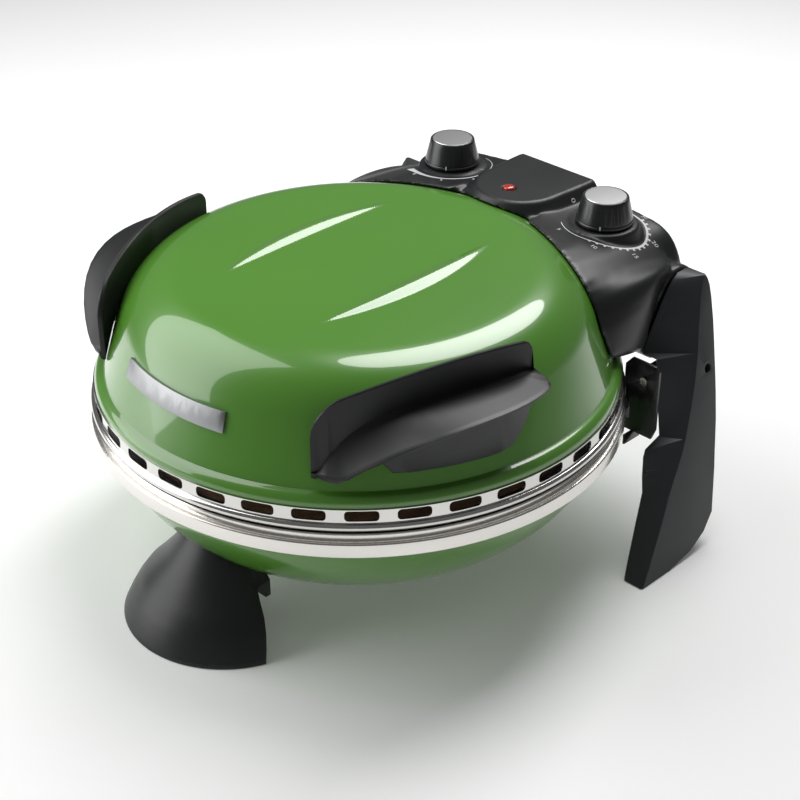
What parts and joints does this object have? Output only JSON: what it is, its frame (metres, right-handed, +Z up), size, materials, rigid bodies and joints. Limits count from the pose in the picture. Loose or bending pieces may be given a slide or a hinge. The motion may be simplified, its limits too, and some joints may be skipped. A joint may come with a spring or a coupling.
{
  "type": "countertop pizza oven",
  "caption": "Round countertop pizza oven: a domed lid with two side grips, hinged between two tall rear legs, over a bowl-shaped base that holds a flat baking stone.",
  "frame": {"origin": "on the table, under the middle of the whole oven's outline", "axes": "+Z up, -Y towards the front foot, +X to the right as seen from the front"},
  "size_m": [0.36, 0.3812, 0.216],
  "materials": {
    "green_enamel": "gloss",
    "stainless": "satin",
    "reflector": "satin",
    "element_sheath": "matt",
    "black_plastic": "matt",
    "knob_plastic": "satin",
    "knob_disc": "spun",
    "black_steel": "satin",
    "zinc_steel": "satin",
    "stoneware": "matt",
    "red_lens": "gloss",
    "lamp_glass": "clear",
    "pale_plastic": "matt",
    "black_rubber": "matt"
  },
  "bodies": {
    "base": {"hinge_pins": "zinc_steel", "hinge_bracket_left": "black_steel", "hinge_bracket_right": "black_steel", "bracket_screws": "zinc_steel", "rear_leg_left": "black_plastic", "rear_leg_right": "black_plastic", "leg_screws": "zinc_steel", "base_rim_band": "stainless", "base_bowl": "green_enamel", "base_liner": "reflector", "baking_stone": "stoneware", "lower_element": "element_sheath", "lower_element_clips": "zinc_steel", "front_foot": "black_plastic"},
    "lid": {"lid_dome": "green_enamel", "lid_vent_ring": "stainless", "lid_liner": "reflector", "upper_element": "element_sheath", "upper_element_clips": "zinc_steel", "grip_left": "black_plastic", "grip_right": "black_plastic", "front_badge": "knob_disc", "control_housing": "black_plastic", "housing_floor": "black_plastic", "thermostat_body": "pale_plastic", "timer_body": "zinc_steel", "pilot_lens": "red_lens", "pilot_lamp": "lamp_glass", "terminal_block": "pale_plastic", "cord_bush": "black_rubber", "lid_hinge_arms": "black_steel"},
    "thermostat_control": {"thermostat_knob": "knob_plastic", "thermostat_knob_disc": "knob_disc", "thermostat_shaft": "zinc_steel"},
    "timer_control": {"timer_knob": "knob_plastic", "timer_knob_disc": "knob_disc", "timer_shaft": "zinc_steel"}
  },
  "joints": [
    {"name": "lid_hinge", "type": "hinge", "parent": "base", "child": "lid", "pos_m": [0, 0.1686, 0.155], "axis": [-1, 0, 0], "range_deg": [0, 100]},
    {"name": "thermostat_turn", "type": "hinge", "parent": "lid", "child": "thermostat_control", "pos_m": [-0.0682, 0.1524, 0.1974], "axis": [0, 0, 1], "range_deg": [-62, 190]},
    {"name": "timer_turn", "type": "hinge", "parent": "lid", "child": "timer_control", "pos_m": [0.0682, 0.1524, 0.1974], "axis": [0, 0, 1], "range_deg": [-300, 0]}
  ]
}
